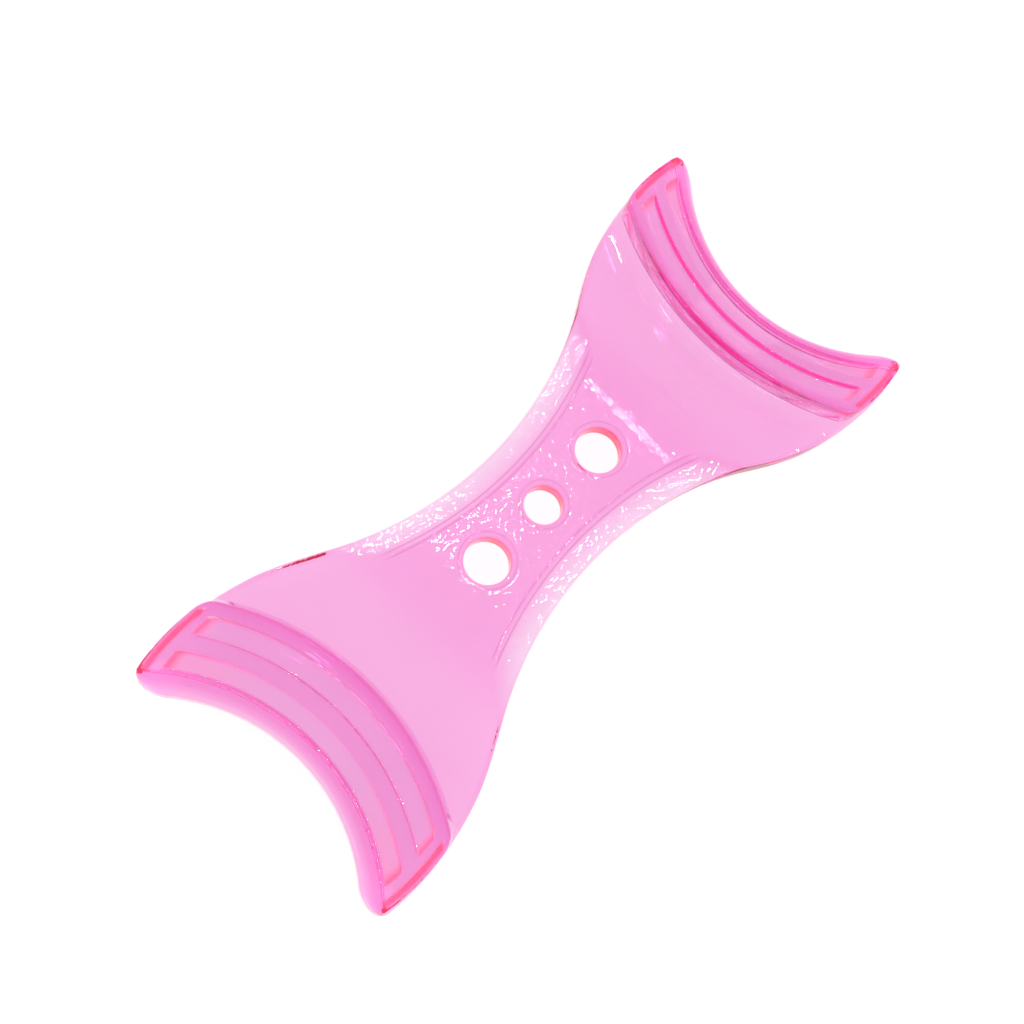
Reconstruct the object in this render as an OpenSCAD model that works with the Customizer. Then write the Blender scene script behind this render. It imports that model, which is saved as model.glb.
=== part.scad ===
// Double-ended cheek retractor, one clear tinted moulding.
// A flat waisted handle with three holes carries a flared blade at each end.
// Each blade runs down to a concave mouth wall, and a ribbed flange folds back
// from the top of that wall over the blade, so a lip channel is left between them.
// Lengths are in millimetres. X runs along the handle, Y across it and Z up.
// The origin is below the middle hole, on the plane that the part rests on.

/* [Handle] */
// Thickness of the handle at the holes
handle_t = 3.8; // [3:0.1:5]
// Height of the handle's underside above the rest plane
handle_lift = 7.8; // [7:0.1:9]
// Half of the handle's width at the waist
waist_half = 12.2; // [11:0.1:13]
// Radius of the concave waist curve
waist_r = 64.5; // [60:0.5:70]
// Half length of the flat middle of the handle
flat_half = 18.5; // [18.5:0.5:21]
// Width of the thinned band along each waist edge
scoop_w = 4.6; // [3.5:0.1:5]
// Thickness left at the outer edge of the thinned band
scoop_edge_t = 1.3; // [1:0.1:2]

/* [Holes] */
// Distance between neighbouring hole centres
hole_pitch = 13.5; // [13:0.1:15]
// Diameter of the two outer holes
outer_hole_d = 7.8; // [7:0.1:9]
// Diameter of the middle hole
middle_hole_d = 6.5; // [5:0.1:8]

/* [Blade] */
// Thickness of each blade
blade_t = 2.4; // [2:0.1:2.8]
// Height of the blade's top where it leaves the handle
blade_top_z = 7; // [6.8:0.1:8]
// How far the blade falls from there to the middle of the mouth edge
blade_fall = 4.6; // [4:0.1:4.6]
// Share of that fall which is lost again at the tips
tip_rise = 0.75; // [0.5:0.05:0.85]

/* [Mouth curve] */
// Distance from the handle's centre to the centre of each mouth arc
mouth_x = 91.5; // [91:0.1:92]
// Radius of the concave mouth edge
mouth_r = 36; // [35.5:0.1:36.5]
// Thickness of the mouth wall
wall_t = 2.1; // [1.8:0.1:2.5]
// Radius of the rounded tips and flange corners
corner_r = 2.6; // [2:0.1:3]

/* [Flange] */
// Reach of the flange from the mouth edge to its free edge
flange_reach = 13.4; // [12:0.1:14]
// Height of the flange's top at the middle of its free edge
flange_back_z = 14.4; // [14.2:0.1:16]
// Height of the flange's top at the middle of the mouth edge
flange_front_z = 5.6; // [5.4:0.1:6.5]
// Thickness of the flange's floor under its pockets
floor_t = 1.1; // [1:0.1:1.4]
// Height of the ribs above the flange's floor
rib_h = 1.1; // [0.8:0.1:1.2]
// Width of the rib between the two pockets
middle_rib_w = 2.5; // [2:0.1:3]
// Width of the pocket next to the mouth edge
front_pocket_w = 3.2; // [2.8:0.1:3.4]
// Width of the rib along the free edge
back_rib_w = 2.2; // [1.8:0.1:2.6]

/* [Hidden] */

tint = [0.96, 0.55, 0.76];
deep_tint = [0.93, 0.36, 0.56];
pale_tint = [0.97, 0.68, 0.87];

// Radii, from the mouth arc's centre, of the lines that divide an end
blade_r = mouth_r + 15;
wall_r = mouth_r + wall_t;
front_pocket_r = wall_r + front_pocket_w;
middle_rib_r = front_pocket_r + middle_rib_w;
flange_r = mouth_r + flange_reach;
back_pocket_r = flange_r - back_rib_w;
// Part of the half width at which the pockets end
pocket_end = 0.89;
// The widest line across an end, and how fast the sides draw in from it
widest_r = mouth_r + 8;
widest_half = 28;
side_bow = 52;
// Falls of the flange's two edges from the middle to the tips
flange_back_fall = 2;
flange_front_rise = 3.2;

// The handle's plan: a waist arc, a short straight flare, then a shoulder arc
flare_angle = 28.6;
shoulder_start = 34.5;
shoulder_r = 54.5;
waist_end = waist_r * sin(flare_angle);
waist_end_half = waist_half + waist_r * (1 - cos(flare_angle));
shoulder_half = waist_end_half + (shoulder_start - waist_end) * tan(flare_angle);
shoulder_end_angle = 12;

// The handle's side view: flat, then two equal arcs that lower it onto the blade
bend_end = 40.5;
handle_end = 50;
handle_top = handle_lift + handle_t;
blade_under = blade_top_z - blade_t;

// Drop at the inner edge of the thinned band
crease_step = 0.9;

arc_steps = 16;
// Steps across an end, and the longest step along its reach
across = 36;
row_step = 1.1;
slack = 1;

function waist_points() = [
    for (i = [0 : arc_steps])
        let (a = flare_angle * i / arc_steps)
            [waist_r * sin(a), waist_half + waist_r * (1 - cos(a))]
];

function shoulder_points() = [
    for (i = [0 : arc_steps])
        let (a = flare_angle - (flare_angle - shoulder_end_angle) * i / arc_steps)
            [
                shoulder_start + shoulder_r * (sin(flare_angle) - sin(a)),
                shoulder_half + shoulder_r * (cos(a) - cos(flare_angle))
            ]
];

// Side-view line that starts level at z_high and ends level at z_low
function bend_points(z_high, z_low) =
    let (
        run = bend_end - flat_half,
        turn = 2 * atan((z_high - z_low) / run),
        r = run / 2 / sin(turn)
    )
    concat(
        [for (i = [0 : arc_steps])
            let (a = turn * i / arc_steps)
                [flat_half + r * sin(a), z_high - r * (1 - cos(a))]],
        [for (i = [1 : arc_steps])
            let (a = turn * (1 - i / arc_steps))
                [bend_end - r * sin(a), z_low + r * (1 - cos(a))]]
    );

function reversed(list) = [for (i = [len(list) - 1 : -1 : 0]) list[i]];
function mirrored_x(list) = [for (p = list) [-p[0], p[1]]];
function mirrored_y(list) = [for (p = list) [p[0], -p[1]]];

// How far a rounded corner draws in, at a distance from the edge it ends on
function corner_in(d) =
    d >= corner_r ? 0 : corner_r - sqrt(pow(corner_r, 2) - pow(corner_r - max(d, 0), 2));

// Half width of an end at a radius, with its rounded tips
function side_half(r) =
    widest_half - pow(r - widest_r, 2) / side_bow - corner_in(r - mouth_r);

// The flange is the same, with rounded corners on its free edge as well
function flange_half(r) = side_half(r) - corner_in(flange_r - r);

// Heights of an end's surfaces. v runs from -1 to 1 across the end.
function blade_top(r, v) =
    blade_top_z - blade_fall * pow((blade_r - r) / (blade_r - mouth_r), 2) * (1 - tip_rise * v * v);
function blade_bottom(r, v) = blade_top(r, v) - blade_t;
function flange_top(r, v) =
    let (
        back = flange_back_z - flange_back_fall * v * v,
        front = flange_front_z + flange_front_rise * v * v
    )
    back + (front - back) * (flange_r - r) / flange_reach;
function floor_top(r, v) = flange_top(r, v) - rib_h;
function floor_bottom(r, v) = floor_top(r, v) - floor_t;

// Closed solid over the strip r0..r1, v0..v1 of an end, between two height functions.
// half gives the half width at a radius.
module strip(r0, r1, v0, v1, low, high, half) {
    steps = ceil(across * (v1 - v0) / 2);
    rows = max(2, ceil((r1 - r0) / row_step));
    width = steps + 1;
    sheet = width * (rows + 1);
    function spot(i, j, height) =
        let (
            r = r0 + (r1 - r0) * i / rows,
            v = v0 + (v1 - v0) * j / steps,
            y = v * half(r)
        )
        [mouth_x - sqrt(r * r - y * y), y, height(r, v)];
    points = concat(
        [for (i = [0 : rows]) for (j = [0 : steps]) spot(i, j, low)],
        [for (i = [0 : rows]) for (j = [0 : steps]) spot(i, j, high)]
    );
    function at(i, j) = i * width + j;
    skins = [
        for (i = [0 : rows - 1]) for (j = [0 : steps - 1]) for (k = [0 : 3])
            let (a = at(i, j), b = at(i + 1, j), c = at(i + 1, j + 1), d = at(i, j + 1))
                k == 0 ? [a, b, c]
                : k == 1 ? [a, c, d]
                : k == 2 ? [sheet + a, sheet + c, sheet + b]
                : [sheet + a, sheet + d, sheet + c]
    ];
    rim = concat(
        [for (j = [0 : steps - 1]) at(0, j)],
        [for (i = [0 : rows - 1]) at(i, steps)],
        [for (j = [steps : -1 : 1]) at(rows, j)],
        [for (i = [rows : -1 : 1]) at(i, 0)]
    );
    walls = [
        for (k = [0 : len(rim) - 1]) for (t = [0 : 1])
            let (p = rim[k], q = rim[(k + 1) % len(rim)])
                t == 0 ? [p, q, sheet + q] : [p, sheet + q, sheet + p]
    ];
    polyhedron(points = points, faces = concat(skins, walls), convexity = 6);
}

// Puts one end's solid on the left or the right end of the handle
module on_end(side) {
    if (side == "right") children();
    else mirror([1, 0, 0]) children();
}

module handle_outline() {
    quarter = concat(waist_points(), shoulder_points(), [[handle_end, shoulder_points()[arc_steps][1]]]);
    polygon(concat(
        quarter,
        reversed(mirrored_y(quarter)),
        mirrored_x(mirrored_y(quarter)),
        reversed(mirrored_x(quarter))
    ));
}

module handle_side_view() {
    top = concat(bend_points(handle_top, blade_top_z), [[handle_end, blade_top_z]]);
    under = concat(bend_points(handle_lift, blade_under), [[handle_end, blade_under]]);
    polygon(concat(
        reversed(mirrored_x(top)),
        top,
        reversed(under),
        mirrored_x(under)
    ));
}

// Sloping cut that thins the handle along one waist edge
module scoop_cut() {
    low = handle_lift + scoop_edge_t;
    high = handle_top - crease_step;
    crease = waist_r + scoop_w;
    slope = (high - low) / scoop_w;
    translate([0, waist_half + waist_r, 0])
        rotate_extrude($fn = 240)
            polygon([
                [waist_r - slack, low - slope * slack],
                [crease, high],
                [crease, handle_top + slack],
                [waist_r - slack, handle_top + slack]
            ]);
}

module hole(x, d) {
    translate([x, 0, handle_lift - slack])
        cylinder(h = handle_t + 2 * slack, d = d, $fn = 96);
}

module handle_plate() {
    color(pale_tint)
        difference() {
            intersection() {
                linear_extrude(height = handle_top + slack)
                    handle_outline();
                translate([0, handle_end, 0])
                    rotate([90, 0, 0])
                        linear_extrude(height = 2 * handle_end)
                            handle_side_view();
            }
            for (side = [-1, 1])
                translate([side * mouth_x, 0, -slack])
                    cylinder(h = handle_top + 3 * slack, r = blade_r, $fn = 360);
            scoop_cut();
            mirror([0, 1, 0]) scoop_cut();
            hole(-hole_pitch, outer_hole_d);
            hole(0, middle_hole_d);
            hole(hole_pitch, outer_hole_d);
        }
}

module blade(side) {
    color(pale_tint)
        on_end(side)
            strip(wall_r, blade_r, -1, 1,
                function(r, v) blade_bottom(r, v),
                function(r, v) blade_top(r, v),
                function(r) side_half(r));
}

module mouth_wall(side) {
    color(deep_tint)
        on_end(side)
            strip(mouth_r, wall_r, -1, 1,
                function(r, v) blade_bottom(r, v),
                function(r, v) floor_bottom(r, v),
                function(r) side_half(r));
}

module flange_floor(side) {
    color(tint)
        on_end(side)
            strip(mouth_r, flange_r, -1, 1,
                function(r, v) floor_bottom(r, v),
                function(r, v) floor_top(r, v),
                function(r) flange_half(r));
}

// A rib that follows the mouth curve between two radii
module curved_rib(side, r0, r1, reach) {
    color(deep_tint)
        on_end(side)
            strip(r0, r1, -reach, reach,
                function(r, v) floor_top(r, v),
                function(r, v) flange_top(r, v),
                function(r) flange_half(r));
}

module side_ribs(side) {
    color(deep_tint)
        for (end = [-1, 1])
            on_end(side)
                strip(wall_r, back_pocket_r, end > 0 ? pocket_end : -1, end > 0 ? 1 : -pocket_end,
                    function(r, v) floor_top(r, v),
                    function(r, v) flange_top(r, v),
                    function(r) flange_half(r));
}

handle_plate();
blade("left");  // left_blade
mouth_wall("left");  // left_mouth_wall
flange_floor("left");  // left_flange_floor
curved_rib("left", mouth_r, wall_r, 1);  // left_front_rib
curved_rib("left", front_pocket_r, middle_rib_r, pocket_end);  // left_middle_rib
curved_rib("left", back_pocket_r, flange_r, 1);  // left_back_rib
side_ribs("left");  // left_side_ribs
blade("right");  // right_blade
mouth_wall("right");  // right_mouth_wall
flange_floor("right");  // right_flange_floor
curved_rib("right", mouth_r, wall_r, 1);  // right_front_rib
curved_rib("right", front_pocket_r, middle_rib_r, pocket_end);  // right_middle_rib
curved_rib("right", back_pocket_r, flange_r, 1);  // right_back_rib
side_ribs("right");  // right_side_ribs
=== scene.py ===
"""Double-ended cheek retractor in clear pink plastic.

The whole moulding is one closed surface. It is described by a field that is negative
inside the plastic, a surface is drawn round the field's zero level, and every vertex is
then moved onto that level, so that fillets and edges are true and normals are exact.
A colour attribute on the vertices tells the material where to paint shade as a deeper pink
and where to paint a red glow that stands in for the light trapped in the plastic.
"""

import math

import bpy
import numpy as np
from mathutils import Matrix, Vector


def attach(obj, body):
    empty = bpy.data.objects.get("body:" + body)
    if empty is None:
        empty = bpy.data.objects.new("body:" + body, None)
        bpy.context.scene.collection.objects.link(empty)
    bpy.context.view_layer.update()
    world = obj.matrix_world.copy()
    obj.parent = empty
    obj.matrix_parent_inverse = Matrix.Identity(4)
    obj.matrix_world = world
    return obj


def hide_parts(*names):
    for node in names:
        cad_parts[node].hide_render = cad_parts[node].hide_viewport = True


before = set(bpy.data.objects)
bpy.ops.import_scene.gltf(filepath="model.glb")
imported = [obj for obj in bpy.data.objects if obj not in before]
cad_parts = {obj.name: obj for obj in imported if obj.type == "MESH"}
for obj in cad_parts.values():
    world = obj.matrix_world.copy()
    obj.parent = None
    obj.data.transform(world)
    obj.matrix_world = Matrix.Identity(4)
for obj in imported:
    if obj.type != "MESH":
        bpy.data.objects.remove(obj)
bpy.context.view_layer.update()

MM = 0.001

# ---------------------------------------------------------------- sizes, in millimetres
# X runs along the handle, Y across it and Z up. RHO is the distance in plan from the centre
# of the mouth curve, T a thickness, W a width, H a height and R a radius.
HANDLE_T = 3.8
HANDLE_LIFT = 7.8
HANDLE_TOP = HANDLE_LIFT + HANDLE_T
WAIST_HALF = 12.2
WAIST_R = 64.5
FLAT_HALF = 18.5
BEND_END = 40.5
FLARE_ANGLE = math.radians(28.6)
SHOULDER_START = 34.5
SHOULDER_R = 54.5

SCOOP_W = 4.6
SCOOP_EDGE_T = 1.3
CREASE_STEP = 0.9

HOLE_PITCH = 13.5
OUTER_HOLE_R = 3.9
MIDDLE_HOLE_R = 3.25
HOLES = ((0, MIDDLE_HOLE_R), (HOLE_PITCH, OUTER_HOLE_R))

BLADE_T = 2.4
BLADE_BELLY = 0.9
BLADE_TOP = 7.0
BLADE_FALL = 4.6
TIP_RISE = 0.75
BLADE_RHO = 51.0

MOUTH_X = 91.5
MOUTH_R = 36.0
FOOT_X = 88.9
FOOT_R = 32.8
FOOT_H = 2.3
TIP_X = 65.4
WALL_T = 2.1
WALL_RHO = MOUTH_R + WALL_T
FLANGE_REACH = 13.4
FLANGE_RHO = MOUTH_R + FLANGE_REACH
FLANGE_BACK_Z = 14.4
FLANGE_BACK_FALL = 2.0
FLANGE_FRONT_Z = 5.6
FLANGE_FRONT_RISE = 3.2
FLOOR_T = 1.35
RIB_H = 0.8

# The flange's free edge leans outwards below, and has a thicker bead under it
FREE_EDGE_LEAN = 0.4
BEAD_W = 1.6
BEAD_T = 2.5
BEAD_R = 0.4

FRONT_POCKET = (WALL_RHO, WALL_RHO + 3.2)
BACK_POCKET = (FRONT_POCKET[1] + 2.5, FLANGE_RHO - 2.2)
POCKET_END = 0.89
WIDEST_RHO = MOUTH_R + 8
WIDEST_HALF = 28.0
SIDE_BOW = 52.0

# How far each slanting wall runs sideways for each millimetre that it goes down
POCKET_INNER_SLANT = 0.3
POCKET_OUTER_SLANT = 0.05
POCKET_END_SLANT = 1.4

# Rounding of edges and fillets
TIP_R = 1.7
TIP_CORNER_R = 1.5
BACK_CORNER_R = 1.8
PLATE_EDGE_R = 0.45
RIM_EDGE_R = 0.45
MOUTH_EDGE_R = 1.3
ROUNDEST_X = 52.0
HOLE_EDGE_R = 0.5
CHANNEL_R = 0.8
UNDER_R = 0.5
POCKET_CORNER_R = 0.4
POCKET_FILLET = 0.35
POCKET_RIM_R = 0.25
STEP_FILLET = 0.25
STEP_EDGE_R = 0.25
SOFT_R = 0.2

# Small features: a shallow bevel round each hole, and a fine step in the blade beside the flange
BEVEL_W = 0.95
BEVEL_DEPTH = 0.3
LEDGE_RHO = FLANGE_RHO + 2.6
LEDGE_W = 1.0
LEDGE_H = 0.2
STEP_RUN = 1.0

# Long narrow recess beside each side edge of the flange
BAR_NEAR = 0.85
BAR_FAR = 1.95
BAR_DEPTH = 0.15
BAR_END_R = 0.4
BAR_FROM_TIP = 1.3
BAR_FROM_BACK = 1.4

# Grid for the surface: spacing along the handle, along the ends, across, and in height
GRID_HANDLE = 0.38
GRID_ENDS = 0.33
GRID_ACROSS = 0.36
GRID_HEIGHT = 0.31

# Turn of the surface, in radians a millimetre, from which the painted shade of a crease starts
CREASE_FROM = 0.45
CREASE_TO = 1.6
# Strength of the painted shade, a deeper pink, at creases and at the foot of the mouth face
CREASE_SHADE = 0.25
FOOT_SHADE = 0.7

# Half width of the fine lines of painted shade, and how near a pocket's walls still count as in it
LINE_HALF = 0.26
NEARBY = 0.2

# ---------------------------------------------------------------- looks
# Surface colours over the dye: plain, hazy, a deeper pink of painted shade, darker painted shade
# lines, and the red painted where trapped light would come out
PLAIN = (0.86, 1.0, 0.98, 1)
HAZY = (0.82, 0.95, 0.93, 1)
SHADE_PINK = (0.82, 0.55, 0.74, 1)
SHADE_LINE_PINK = (0.60, 0.33, 0.55, 1)
PAINTED_GLOW_RED = (0.50, 0.04, 0.08, 1)

# The slight glow that stands in for trapped light: everywhere, at its exits, and at the tips
GLOW = (1.0, 0.10, 0.24, 1)
GLOW_PLAIN = 0.056
GLOW_RED = 0.52
GLOW_TIPS = 0.15

# Volume absorption, per metre, and the surface's ripple and haze, in metres
DYE = (1.0, 0.0, 0.72, 1)
DYE_DENSITY = 235
RIPPLE_SCALE = 1100
RIPPLE_DEPTH = 0.0001
RIPPLE_FADE = (0.024, 0.034)
RIPPLE_STRENGTH = (0.6, 0.04)
HAZE_SCALE = 90
HAZE_RANGE = (0.35, 0.75)
ROUGHNESS = (0.01, 0.03)
REFRACTION = 1.49

# Stage, in metres and degrees
FLOOR_REACH = 3.0
FLOOR_COLOUR = (0.22, 0.22, 0.22, 1)
WHITE = (1, 1, 1, 1)
FLOOR_LIGHT = 0.9
SKY_LIGHT = 0.6
LAMP_DISTANCE = 0.9
TOP_LAMP = 60
SIDE_LAMP = 90
CAMERA_DISTANCE = 0.3038
CAMERA_AZIMUTH = -79.3
CAMERA_ELEVATION = 71.8
CAMERA_ROLL = 33.7
LENS = 65.25
SHIFT = (-0.0314, -0.0077)


# ---------------------------------------------------------------- field
def ramp(value, zero_at, one_at):
    """0 at the first limit and 1 at the second, in a straight line between them."""
    return np.clip((value - zero_at) / (one_at - zero_at), 0, 1)


def both(a, b, r):
    """Where both fields are inside, with the edge between them rounded to radius r."""
    return np.minimum(np.maximum(a, b), -r) + np.hypot(np.maximum(a + r, 0), np.maximum(b + r, 0))


def either(a, b, r):
    """Where either field is inside, with a fillet of radius r between them."""
    return -both(-a, -b, r)


def handle_profile(x, high, low):
    """Side-view line of the handle: flat, then two equal arcs down to a lower flat."""
    run = BEND_END - FLAT_HALF
    turn = 2 * math.atan((high - low) / run)
    r = run / 2 / math.sin(turn)
    near = high - r + np.sqrt(r * r - np.clip(x - FLAT_HALF, 0, run / 2) ** 2)
    far = low + r - np.sqrt(r * r - np.clip(BEND_END - x, 0, run / 2) ** 2)
    return np.where(x < FLAT_HALF + run / 2, near, far)


def outline(x):
    """Half width of the handle in plan, and its slope."""
    s, c = math.sin(FLARE_ANGLE), math.cos(FLARE_ANGLE)
    waist_end = WAIST_R * s
    waist_end_half = WAIST_HALF + WAIST_R * (1 - c)
    shoulder_half = waist_end_half + (SHOULDER_START - waist_end) * s / c
    on_waist = np.clip(x, 0, waist_end) / WAIST_R
    on_shoulder = np.clip(s - np.clip(x - SHOULDER_START, 0, None) / SHOULDER_R, -0.9, s)
    half = np.where(
        x < waist_end,
        WAIST_HALF + WAIST_R * (1 - np.sqrt(1 - on_waist**2)),
        np.where(
            x < SHOULDER_START,
            waist_end_half + (x - waist_end) * s / c,
            shoulder_half + SHOULDER_R * (np.sqrt(1 - on_shoulder**2) - c),
        ),
    )
    slope = np.where(
        x < waist_end,
        on_waist / np.sqrt(1 - on_waist**2),
        on_shoulder / np.sqrt(1 - on_shoulder**2),
    )
    return half, slope


def side_half(rho):
    """Half width of an end, which bows in from its widest place."""
    return WIDEST_HALF - (rho - WIDEST_RHO) ** 2 / SIDE_BOW


def flange_top(rho, v):
    """Height of the flange's outer face. v is 0 in the middle and 1 at the side edge."""
    back = FLANGE_BACK_Z - FLANGE_BACK_FALL * v * v
    front = FLANGE_FRONT_Z + FLANGE_FRONT_RISE * v * v
    return back + (front - back) * (FLANGE_RHO - rho) / FLANGE_REACH


def blade_fall(rho, v):
    """How far the blade has dropped towards the mouth."""
    return BLADE_FALL * ramp(rho, BLADE_RHO, MOUTH_R) ** 2 * (1 - TIP_RISE * v * v)


def ledge(rho):
    """The fine step down in the blade beside the flange."""
    share = ramp(rho, LEDGE_RHO, LEDGE_RHO - LEDGE_W)
    return LEDGE_H * share * share * (3 - 2 * share)


def level(height):
    """Turns a height function of (x, y) into a distance-like field of (x, y, z)."""
    step = 0.05

    def f(x, y, z):
        h = height(x, y)
        hx = (height(x + step, y) - h) / step
        hy = (height(x, y + step) - h) / step
        return (z - h) / np.sqrt(1 + hx * hx + hy * hy)

    return f


def polar(x, y):
    """RHO, and the share of the way from the middle to the side edge."""
    rho = np.hypot(x - MOUTH_X, y)
    return rho, np.clip(y / side_half(rho), -1.2, 1.2)


def along_bend(x, rho):
    """Distance along the handle, which turns to follow the mouth curve as the bend ends."""
    return x + ramp(x, FLAT_HALF, BEND_END) ** 2 * (MOUTH_X - rho - x)


def low_top(x, y):
    """Height of the top of the handle and blade."""
    rho, v = polar(x, y)
    bend = handle_profile(along_bend(x, rho), HANDLE_TOP, BLADE_TOP)
    return bend - blade_fall(rho, v) - ledge(rho)


def low_bottom(x, y):
    """Height of the underside of the handle and blade, with the blade's thicker belly."""
    rho, v = polar(x, y)
    bend = handle_profile(along_bend(x, rho), HANDLE_LIFT, BLADE_TOP - BLADE_T)
    belly = ramp(x, FLAT_HALF, BEND_END) * ramp(rho, MOUTH_R, BLADE_RHO)
    return bend - blade_fall(rho, v) - BLADE_BELLY * belly


def high_top(x, y):
    return flange_top(*polar(x, y))


def bead_bottom(x, y):
    """Underside of the flange's free edge, which is level where the rest of the flange slopes."""
    rho, v = polar(x, y)
    return flange_top(FLANGE_RHO - BEAD_W, v) - BEAD_T


def scoop_floor(x, y):
    """Height of the thinned band beside the waist, which rises towards its step."""
    q = np.hypot(x, y - WAIST_HALF - WAIST_R) - WAIST_R
    return HANDLE_LIFT + SCOOP_EDGE_T + q * (HANDLE_T - CREASE_STEP - SCOOP_EDGE_T) / SCOOP_W


low_top_f, low_bottom_f = level(low_top), level(low_bottom)
high_top_f, scoop_f = level(high_top), level(scoop_floor)
bead_f = level(bead_bottom)


def pocket(x, y, z, top, inner, outer):
    """A long shallow recess in the flange that follows the mouth curve."""
    rho = np.hypot(x - MOUTH_X, y)
    ends = y - POCKET_END * side_half(rho) - POCKET_END_SLANT * top
    ends /= math.hypot(1, POCKET_END_SLANT)
    sides = np.maximum(
        inner - rho - POCKET_INNER_SLANT * top, rho - outer - POCKET_OUTER_SLANT * top
    )
    return both(both(sides, ends, POCKET_CORNER_R), -(top + RIB_H), POCKET_FILLET)


def bar(end_side, rho, x):
    """Negative in plan over the long narrow recess beside the flange's side edge."""
    across = np.maximum(end_side + BAR_NEAR, -BAR_FAR - end_side)
    along = np.maximum(x - TIP_X + BAR_FROM_TIP, rho - FLANGE_RHO + BAR_FROM_BACK)
    return both(across, along, BAR_END_R)


def end_edge(x, y):
    """How far outside the curved side edge of an end a point is."""
    rho = np.hypot(x - MOUTH_X, y)
    bow = -2 * (rho - WIDEST_RHO) / SIDE_BOW
    return (y - side_half(rho)) / np.sqrt(1 + bow**2 - 2 * bow * y / np.maximum(rho, 1))


def field(px, py, pz):
    """Negative inside the plastic. Takes and gives millimetres."""
    x, y, z = np.abs(px), np.abs(py), pz
    rho = np.hypot(x - MOUTH_X, y)

    half, slope = outline(x)
    handle_side = (y - half) / np.sqrt(1 + slope**2)
    end_side = end_edge(x, y)
    low_t, low_b, high_t = low_top_f(x, y, z), low_bottom_f(x, y, z), high_top_f(x, y, z)

    # The mouth face leans out from the flange's edge down to its foot
    lean = np.clip(-high_t / np.maximum(low_b - high_t - FOOT_H, 0.5), 0, 1)
    mouth = (1 - lean) * (MOUTH_R - rho) + lean * (FOOT_R - np.hypot(x - FOOT_X, y))

    # Plate and blade: everything below their top surface, cut by the outline further on
    plate_side = np.where(x > SHOULDER_START, np.maximum(handle_side, end_side), handle_side)
    plate = low_t

    # Scoops along the waist, with a sloping step up to the middle of the handle
    q = np.hypot(x, y - WAIST_HALF - WAIST_R) - WAIST_R
    slant = STEP_RUN / CREASE_STEP
    step = q - SCOOP_W + STEP_RUN / 2 - slant * (z - HANDLE_TOP + CREASE_STEP)
    step /= math.hypot(1, slant)
    scoop = both(step, -scoop_f(x, y, z), STEP_FILLET)
    plate = both(plate, -scoop, STEP_EDGE_R)

    # Flange and mouth wall
    back_edge = (rho - FLANGE_RHO + FREE_EDGE_LEAN * high_t) / math.hypot(1, FREE_EDGE_LEAN)
    free_edge = both(back_edge, end_side, BACK_CORNER_R)
    flange = both(high_t, free_edge, RIM_EDGE_R)
    under = either(-(high_t + RIB_H + FLOOR_T), -bead_f(x, y, z), BEAD_R)
    flange = both(flange, under, UNDER_R)
    body = either(either(flange, rho - WALL_RHO, CHANNEL_R), plate, CHANNEL_R)
    body = np.where(x > SHOULDER_START, np.maximum(body, high_t), plate)

    # Outline and underside
    end = both(both(plate_side, x - TIP_X, TIP_R), mouth, TIP_CORNER_R)
    sides = np.where(x > SHOULDER_START, end, plate_side)
    rounder = ramp(x, SHOULDER_START, ROUNDEST_X)
    body = both(body, sides, PLATE_EDGE_R + (MOUTH_EDGE_R - PLATE_EDGE_R) * rounder)
    body = both(body, -low_b, PLATE_EDGE_R)

    for inner, outer in (FRONT_POCKET, BACK_POCKET):
        body = both(body, -pocket(x, y, z, high_t, inner, outer), POCKET_RIM_R)
    groove = both(bar(end_side, rho, x) - high_t, -(high_t + BAR_DEPTH), SOFT_R)
    body = both(body, -groove, SOFT_R)

    for at, r in HOLES:
        away = np.hypot(x - at, y)
        steep = BEVEL_W / BEVEL_DEPTH
        bevel = (r + BEVEL_W - steep * (HANDLE_TOP - z) - away) / math.hypot(1, steep)
        body = both(body, bevel, SOFT_R)
        body = both(body, r - away, HOLE_EDGE_R)
    return body


# ---------------------------------------------------------------- surface
def spaced(*runs):
    """Grid lines from 0 upwards. Each run is (how far it goes, the spacing in it)."""
    lines = [runs[0][1] / 2]
    for end, spacing in runs:
        while lines[-1] < end:
            lines.append(lines[-1] + spacing)
    return np.array(lines)


def sample():
    """The field on a grid, worked out on one quarter of it, and the grid's lines."""
    # cells straddle the two planes of symmetry
    xs = spaced((38, GRID_HANDLE), (67, GRID_ENDS))
    ys = spaced((29, GRID_ACROSS))
    zs = spaced((16, GRID_HEIGHT)) - 1
    quarter = field(xs[:, None, None], ys[None, :, None], zs[None, None, :])
    half = np.concatenate([quarter[::-1], quarter], axis=0)
    full = np.concatenate([half[:, ::-1], half], axis=1)
    return full, (np.concatenate([-xs[::-1], xs]), np.concatenate([-ys[::-1], ys]), zs)


def untangled(f, passes=4):
    """Where the corners of a grid face alternate, flips the weakest, so no edge gets four quads."""
    f = f.copy()
    for _ in range(passes):
        for axis in range(3):
            g = np.moveaxis(f, axis, 0)
            a, b, c, d = g[:, :-1, :-1], g[:, 1:, :-1], g[:, 1:, 1:], g[:, :-1, 1:]
            alternate = ((a < 0) == (c < 0)) & ((b < 0) == (d < 0)) & ((a < 0) != (b < 0))
            for i, j, k in np.argwhere(alternate):
                corners = ((i, j, k), (i, j + 1, k), (i, j + 1, k + 1), (i, j, k + 1))
                weakest = min(corners, key=lambda at: abs(g[at]))
                g[weakest] = -g[weakest]
    return f


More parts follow.
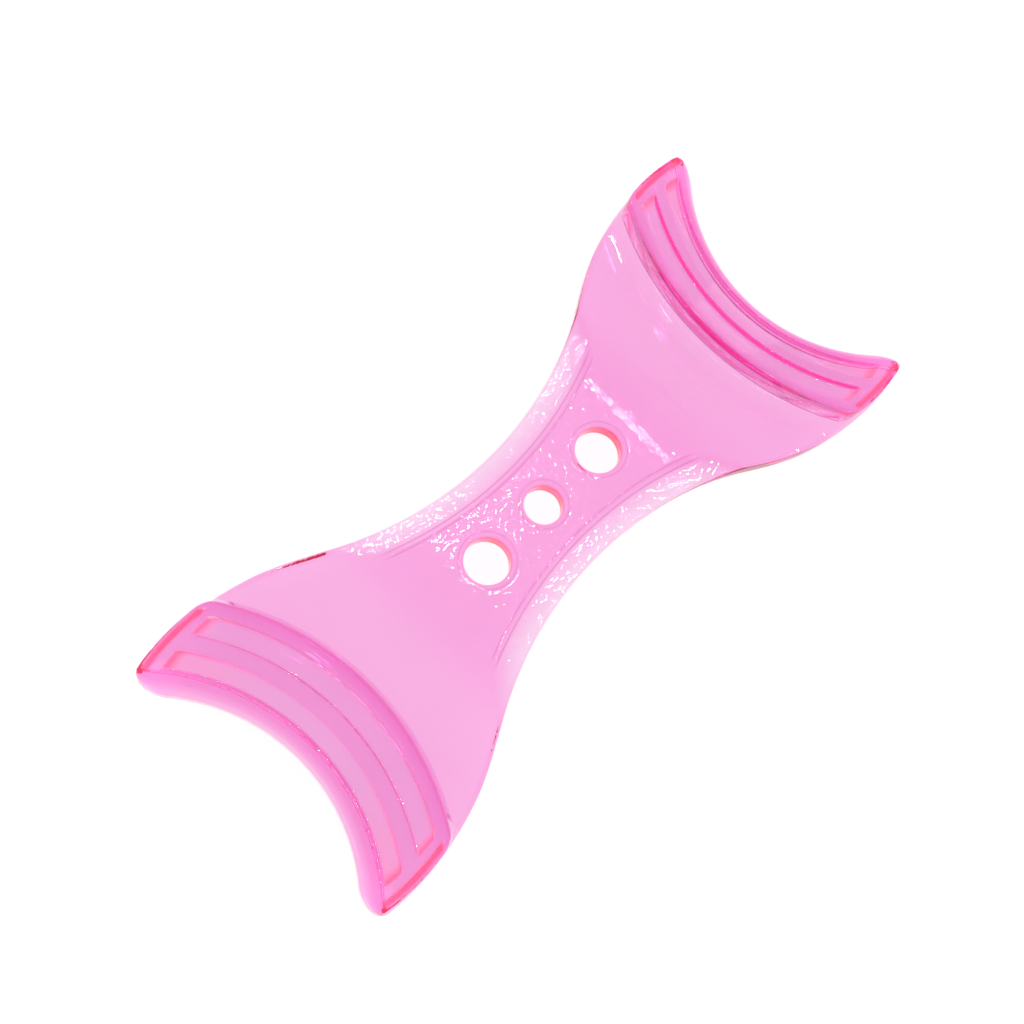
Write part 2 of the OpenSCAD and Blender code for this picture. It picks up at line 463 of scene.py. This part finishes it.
def surface_net(f, lines):
    """One vertex for each cell that the zero level crosses, one quad for each crossed edge."""
    inside = f < 0
    n, m, p = (size - 1 for size in f.shape)
    count = np.zeros((n, m, p), np.int8)
    for i in (0, 1):
        for j in (0, 1):
            for k in (0, 1):
                count += inside[i : n + i, j : m + j, k : p + k]
    cells = (count > 0) & (count < 8)
    index = np.full(cells.shape, -1, np.int64)
    index[cells] = np.arange(cells.sum())
    at = np.argwhere(cells)

    # the mean of the edge crossings
    total, number = np.zeros((len(at), 3)), np.zeros(len(at))
    for axis in range(3):
        others = [a for a in range(3) if a != axis]
        for u in (0, 1):
            for w in (0, 1):
                a = at.copy()
                a[:, others[0]] += u
                a[:, others[1]] += w
                b = a.copy()
                b[:, axis] += 1
                fa, fb = f[tuple(a.T)], f[tuple(b.T)]
                hit = (fa < 0) != (fb < 0)
                t = np.where(hit, fa / np.where(hit, fa - fb, 1), 0)
                p = a.astype(float)
                p[:, axis] += t
                total[hit] += p[hit]
                number[hit] += 1
    spot = total / number[:, None]
    points = np.stack(
        [np.interp(spot[:, a], np.arange(len(lines[a])), lines[a]) for a in range(3)], 1
    )

    quads = []
    for axis in range(3):
        u, w = (axis + 1) % 3, (axis + 2) % 3
        a = [slice(1, -1)] * 3
        b = [slice(1, -1)] * 3
        a[axis], b[axis] = slice(0, -1), slice(1, None)
        cross = inside[tuple(a)] != inside[tuple(b)]
        spot = np.argwhere(cross)
        spot[:, u] += 1
        spot[:, w] += 1
        first = inside[tuple(spot.T)]
        ring = []
        for du, dw in ((-1, -1), (0, -1), (0, 0), (-1, 0)):
            c = spot.copy()
            c[:, u] += du
            c[:, w] += dw
            ring.append(index[tuple(c.T)])
        ring = np.stack(ring, 1)
        ring[~first] = ring[~first][:, ::-1]
        quads.append(ring)
    return points, np.concatenate(quads)


def gradient(p, h=0.02):
    """The field's slope at each point, by central differences."""
    g = np.empty_like(p)
    for axis in range(3):
        d = np.zeros(3)
        d[axis] = h
        g[:, axis] = (field(*(p + d).T) - field(*(p - d).T)) / (2 * h)
    return g


def settle(points, passes=4):
    """Moves each point along the field's slope until it lies on the zero level."""
    p = points.copy()
    for _ in range(passes):
        g = gradient(p)
        move = -(field(*p.T) / np.maximum((g * g).sum(1), 0.05))[:, None] * g
        p += np.clip(move, -0.15, 0.15)
    return p


def crease(points, normals, quads):
    """How sharply the surface turns at each vertex, from 0 on a flat or a wide curve to 1."""
    ends = np.concatenate([quads, np.roll(quads, 1, axis=1)], axis=0)
    a = np.concatenate([ends[:, 0], ends[:, 2]])
    b = np.concatenate([ends[:, 1], ends[:, 3]])
    a, b = np.concatenate([a, b]), np.concatenate([b, a])
    turn = np.linalg.norm(normals[a] - normals[b], axis=1)
    turn /= np.maximum(np.linalg.norm(points[a] - points[b], axis=1), 0.15)
    sharpest = np.zeros(len(points))
    np.maximum.at(sharpest, a, turn)
    return ramp(sharpest, CREASE_FROM, CREASE_TO)


def painted_glow(points, normals):
    """Where a red glow is painted for light trapped in the plastic: hole walls, pocket ends and
    bars.
    """
    x, y, z = np.abs(points[:, 0]), np.abs(points[:, 1]), points[:, 2]
    steep = ramp(np.abs(normals[:, 2]), 0.8, 0.3)
    result = np.zeros(len(points))
    for at, r in HOLES:
        near = ramp(np.abs(np.hypot(x - at, y) - r), 0.45, 0.15)
        result = np.maximum(result, steep * near)
    rho = np.hypot(x - MOUTH_X, y)
    top = high_top_f(x, y, z)
    outside = end_edge(x, y)
    in_bar = ramp(bar(outside, rho, x), 0.24, -0.16) * ramp(top, -0.6, -0.4)
    result = np.maximum(result, in_bar)
    inward = ramp(-np.sign(points[:, 1]) * normals[:, 1], 0.1944, 0.75)
    in_pocket = (top < -0.1) & (top > -RIB_H - 0.1) & (outside < -BAR_FAR - NEARBY)
    for inner, outer in (FRONT_POCKET, BACK_POCKET):
        between = (rho > inner - NEARBY) & (rho < outer + NEARBY)
        result = np.maximum(result, inward * (in_pocket & between))
    return result


def foot_shade(points):
    """Painted shade at the foot of the mouth face, a deeper pink than its thickness alone gives."""
    x, y, z = np.abs(points[:, 0]), np.abs(points[:, 1]), points[:, 2]
    rho = np.hypot(x - MOUTH_X, y)
    low = ramp(low_bottom_f(x, y, z), 1.3 * FOOT_H, 0.3 * FOOT_H)
    return low * ramp(rho, WALL_RHO, MOUTH_R)


def rim_shade_line(points):
    """Painted shade along the top edge of the flange's free side: a fine dark line."""
    x, y, z = np.abs(points[:, 0]), np.abs(points[:, 1]), points[:, 2]
    top = high_top_f(x, y, z)
    back = np.hypot(x - MOUTH_X, y) - FLANGE_RHO + FREE_EDGE_LEAN * top
    return ramp(np.maximum(np.abs(back + 0.1), np.abs(top + 0.1)), 0.4, 0.15)


def step_zone(points, normals):
    """1 on top of the handle, fading out where the steps beside the scoops run out."""
    x, y = np.abs(points[:, 0]), np.abs(points[:, 1])
    lowest = HANDLE_TOP - CREASE_STEP
    return ramp(low_top(x, y), lowest, lowest + 0.5) * (normals[:, 2] > 0.3)


def tip_glow(points):
    """The tips, where a stronger glow is painted for light trapped there longest."""
    return ramp(np.abs(points[:, 0]), TIP_X - 5, TIP_X - 2)


def moulded_body():
    """The mesh, with its exact normals and its attribute of painted shade and painted glow."""
    samples, lines = sample()
    points, quads = surface_net(untangled(samples), lines)
    points = settle(points)
    normals = gradient(points)
    normals /= np.linalg.norm(normals, axis=1)[:, None]
    mesh = bpy.data.meshes.new("moulded_body")
    mesh.from_pydata(points * MM, [], quads)
    mesh.validate()
    mesh.shade_smooth()
    mesh.normals_split_custom_set_from_vertices(normals)
    # Painted shade: a deeper pink at creases, at the foot of the mouth face and along the flange's
    # rim line
    painted_shade = np.maximum(CREASE_SHADE * crease(points, normals, quads), FOOT_SHADE * foot_shade(points))
    painted_shade = np.maximum(painted_shade, rim_shade_line(points))
    tint = np.stack([painted_shade, painted_glow(points, normals), tip_glow(points), step_zone(points, normals)], 1)
    mesh.color_attributes.new("tint", "FLOAT_COLOR", "POINT").data.foreach_set(
        "color", tint.ravel()
    )
    return mesh


mesh = moulded_body()
body = bpy.data.objects.new("moulded_body", mesh)
bpy.context.scene.collection.objects.link(body)


# ---------------------------------------------------------------- plastic
def math_node(nt, operation, *values):
    node = nt.nodes.new("ShaderNodeMath")
    node.operation = operation
    for socket, value in zip(node.inputs, values, strict=False):
        if isinstance(value, (int, float)):
            socket.default_value = value
        else:
            nt.links.new(value, socket)
    return node.outputs["Value"]


def map_range(nt, value, source, target):
    node = nt.nodes.new("ShaderNodeMapRange")
    node.inputs["From Min"].default_value, node.inputs["From Max"].default_value = source
    node.inputs["To Min"].default_value, node.inputs["To Max"].default_value = target
    nt.links.new(value, node.inputs["Value"])
    return node.outputs["Result"]


def mirrored(nt, where):
    """Distances from the two planes of symmetry."""
    split = nt.nodes.new("ShaderNodeSeparateXYZ")
    nt.links.new(where, split.inputs["Vector"])
    return [math_node(nt, "ABSOLUTE", split.outputs[axis]) for axis in ("X", "Y")]


def distance_from(nt, x, y, at_x, at_y):
    dx = math_node(nt, "SUBTRACT", x, at_x)
    dy = math_node(nt, "SUBTRACT", y, at_y)
    square = math_node(nt, "MULTIPLY_ADD", dx, dx, math_node(nt, "MULTIPLY", dy, dy))
    return math_node(nt, "SQRT", square)


def painted_shade_lines(nt, x, y):
    """Painted shade: thin darker lines along both edges of the steps and round the bevels, 1 in the
    middle of a line.
    """
    from_waist = distance_from(nt, x, y, 0.0, (WAIST_HALF + WAIST_R) * MM)
    lines = [
        (from_waist, WAIST_R + SCOOP_W - STEP_RUN / 2, 1.0),
        (from_waist, WAIST_R + SCOOP_W + STEP_RUN / 2, 0.8),
        (distance_from(nt, x, y, 0.0, 0.0), MIDDLE_HOLE_R + BEVEL_W, 0.6),
        (distance_from(nt, x, y, HOLE_PITCH * MM, 0.0), OUTER_HOLE_R + BEVEL_W, 0.6),
    ]
    total = 0.0
    for distance, middle, strength in lines:
        off = math_node(nt, "ABSOLUTE", math_node(nt, "SUBTRACT", distance, middle * MM))
        line = math_node(nt, "MULTIPLY_ADD", off, -strength / (LINE_HALF * MM), strength)
        total = math_node(nt, "MAXIMUM", line, total)
    return total


def clear_plastic():
    """Clear tinted plastic: a dyed volume, a glossy rippled surface, painted shade and a painted
    red glow.
    """
    mat = bpy.data.materials.new("clear_pink_plastic")
    mat.use_nodes = True
    nt = mat.node_tree
    shader = nt.nodes["Principled BSDF"]
    shader.inputs["IOR"].default_value = REFRACTION
    shader.inputs["Transmission Weight"].default_value = 1.0
    shader.inputs["Emission Color"].default_value = GLOW

    where = nt.nodes.new("ShaderNodeTexCoord").outputs["Object"]
    x, y = mirrored(nt, where)

    # Gloss that dulls a little in patches, as handled plastic does
    haze = nt.nodes.new("ShaderNodeTexNoise")
    haze.inputs["Scale"].default_value = HAZE_SCALE
    haze.inputs["Detail"].default_value = 4
    nt.links.new(where, haze.inputs["Vector"])
    gloss = map_range(nt, haze.outputs["Fac"], HAZE_RANGE, ROUGHNESS)
    nt.links.new(gloss, shader.inputs["Roughness"])

    # Slight ripple left by the mould's surface, strong on the handle and faint on the two ends
    ripple = nt.nodes.new("ShaderNodeTexNoise")
    ripple.inputs["Scale"].default_value = RIPPLE_SCALE
    ripple.inputs["Detail"].default_value = 1
    bump = nt.nodes.new("ShaderNodeBump")
    bump.inputs["Distance"].default_value = RIPPLE_DEPTH
    strength = map_range(nt, x, RIPPLE_FADE, RIPPLE_STRENGTH)
    nt.links.new(strength, bump.inputs["Strength"])
    nt.links.new(where, ripple.inputs["Vector"])
    nt.links.new(ripple.outputs["Fac"], bump.inputs["Height"])
    nt.links.new(bump.outputs["Normal"], shader.inputs["Normal"])

    # Painted shade: creases, the mouth face's foot and the flange's rim line are a deeper pink, and
    # the step edges and bevels get darker painted lines; a red with a painted glow stands where
    # trapped light would come out.
    # The attribute's red is painted shade, green the painted red glow, blue the painted glow of the
    # tips and alpha the step zone.
    tint = nt.nodes.new("ShaderNodeAttribute")
    tint.attribute_name = "tint"
    parts = nt.nodes.new("ShaderNodeSeparateColor")
    nt.links.new(tint.outputs["Color"], parts.inputs["Color"])
    lines = math_node(nt, "MULTIPLY", painted_shade_lines(nt, x, y), tint.outputs["Alpha"])
    colour = None
    for factor, far in (
        (haze.outputs["Fac"], HAZY),
        (parts.outputs["Red"], SHADE_PINK),
        (lines, SHADE_LINE_PINK),
        (parts.outputs["Green"], PAINTED_GLOW_RED),
    ):
        mix = nt.nodes.new("ShaderNodeMix")
        mix.data_type = "RGBA"
        mix.inputs["A"].default_value = PLAIN
        mix.inputs["B"].default_value = far
        nt.links.new(factor, mix.inputs["Factor"])
        if colour:
            nt.links.new(colour, mix.inputs["A"])
        colour = mix.outputs["Result"]
    nt.links.new(colour, shader.inputs["Base Color"])
    # Painted glow: a little emission everywhere, more where trapped light would come out and at the
    # tips
    lit = map_range(nt, parts.outputs["Green"], (0.0, 1.0), (GLOW_PLAIN, GLOW_RED))
    lit = math_node(nt, "MULTIPLY_ADD", parts.outputs["Blue"], GLOW_TIPS, lit)
    nt.links.new(lit, shader.inputs["Emission Strength"])

    dye = nt.nodes.new("ShaderNodeVolumeAbsorption")
    dye.inputs["Color"].default_value = DYE
    dye.inputs["Density"].default_value = DYE_DENSITY
    nt.links.new(dye.outputs["Volume"], nt.nodes["Material Output"].inputs["Volume"])
    return mat


body.data.materials.append(clear_plastic())
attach(body, "root")
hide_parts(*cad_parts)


# ---------------------------------------------------------------- stage
def pale_floor():
    mat = bpy.data.materials.new("pale_floor")
    mat.use_nodes = True
    shader = mat.node_tree.nodes["Principled BSDF"]
    shader.inputs["Base Color"].default_value = FLOOR_COLOUR
    shader.inputs["Roughness"].default_value = 0.9
    shader.inputs["Specular IOR Level"].default_value = 0.1
    shader.inputs["Emission Color"].default_value = WHITE
    shader.inputs["Emission Strength"].default_value = FLOOR_LIGHT
    return mat


floor_mesh = bpy.data.meshes.new("floor")
corners = [(FLOOR_REACH * a, FLOOR_REACH * b, 0) for a, b in ((-1, -1), (1, -1), (1, 1), (-1, 1))]
floor_mesh.from_pydata(corners, [], [(0, 1, 2, 3)])
floor = bpy.data.objects.new("floor", floor_mesh)
floor.location.z = -0.1 * MM
bpy.context.scene.collection.objects.link(floor)
floor.data.materials.append(pale_floor())

world = bpy.data.worlds.new("studio")
world.use_nodes = True
sky = world.node_tree.nodes["Background"]
sky.inputs["Color"].default_value = WHITE
sky.inputs["Strength"].default_value = SKY_LIGHT
bpy.context.scene.world = world
bpy.context.scene.view_settings.view_transform = "Standard"


def strip(name, direction, along, length, width, radiance):
    """A long narrow lamp at LAMP_DISTANCE in that direction, its long side parallel to along."""
    back = Vector(direction).normalized()
    side = Vector(along)
    side = (side - back * side.dot(back)).normalized()
    lamp = bpy.data.lights.new(name, "AREA")
    lamp.shape = "RECTANGLE"
    lamp.size, lamp.size_y = length, width
    lamp.energy = radiance * math.pi * length * width
    obj = bpy.data.objects.new(name, lamp)
    turn = Matrix((side, back.cross(side), back)).transposed().to_4x4()
    obj.matrix_world = Matrix.Translation(back * LAMP_DISTANCE) @ turn
    bpy.context.scene.collection.objects.link(obj)


strip("lamp_above", (0.26, 0.13, 0.956), (1, 0, 0), 0.06, 0.02, TOP_LAMP)
strip("strip_end", (0.53, 0.01, 0.85), (0.16, 1, 0), 0.36, 0.012, TOP_LAMP)
strip("lamp_behind_left", (0.39, 0.68, 0.62), (1, 0, 0), 0.06, 0.02, SIDE_LAMP)
strip("lamp_behind_right", (0.20, 0.68, 0.70), (1, 0, 0), 0.03, 0.02, SIDE_LAMP)
strip("lamp_front_left", (0.32, -0.63, 0.70), (1, 0, 0), 0.08, 0.02, SIDE_LAMP)
strip("lamp_front_right", (0.18, -0.60, 0.78), (1, 0, 0), 0.03, 0.02, SIDE_LAMP)


# ---------------------------------------------------------------- camera
def camera():
    """Looks down at the middle hole from the left, rolled so that the handle runs up and right."""
    azimuth, elevation, roll = (
        math.radians(angle) for angle in (CAMERA_AZIMUTH, CAMERA_ELEVATION, CAMERA_ROLL)
    )
    back = Vector(
        (
            math.sin(azimuth) * math.cos(elevation),
            -math.cos(azimuth) * math.cos(elevation),
            math.sin(elevation),
        )
    )
    level_right = Vector((0, 0, 1)).cross(back).normalized()
    level_up = back.cross(level_right)
    right = math.cos(roll) * level_right + math.sin(roll) * level_up
    up = back.cross(right)
    data = bpy.data.cameras.new("camera")
    data.lens = LENS
    data.sensor_width = 36
    data.shift_x, data.shift_y = SHIFT
    data.clip_start = 0.01
    obj = bpy.data.objects.new("camera", data)
    turn = Matrix((right, up, back)).transposed().to_4x4()
    spot = Vector((0, 0, HANDLE_TOP * MM)) + back * CAMERA_DISTANCE
    obj.matrix_world = Matrix.Translation(spot) @ turn
    bpy.context.scene.collection.objects.link(obj)
    bpy.context.scene.camera = obj


camera()
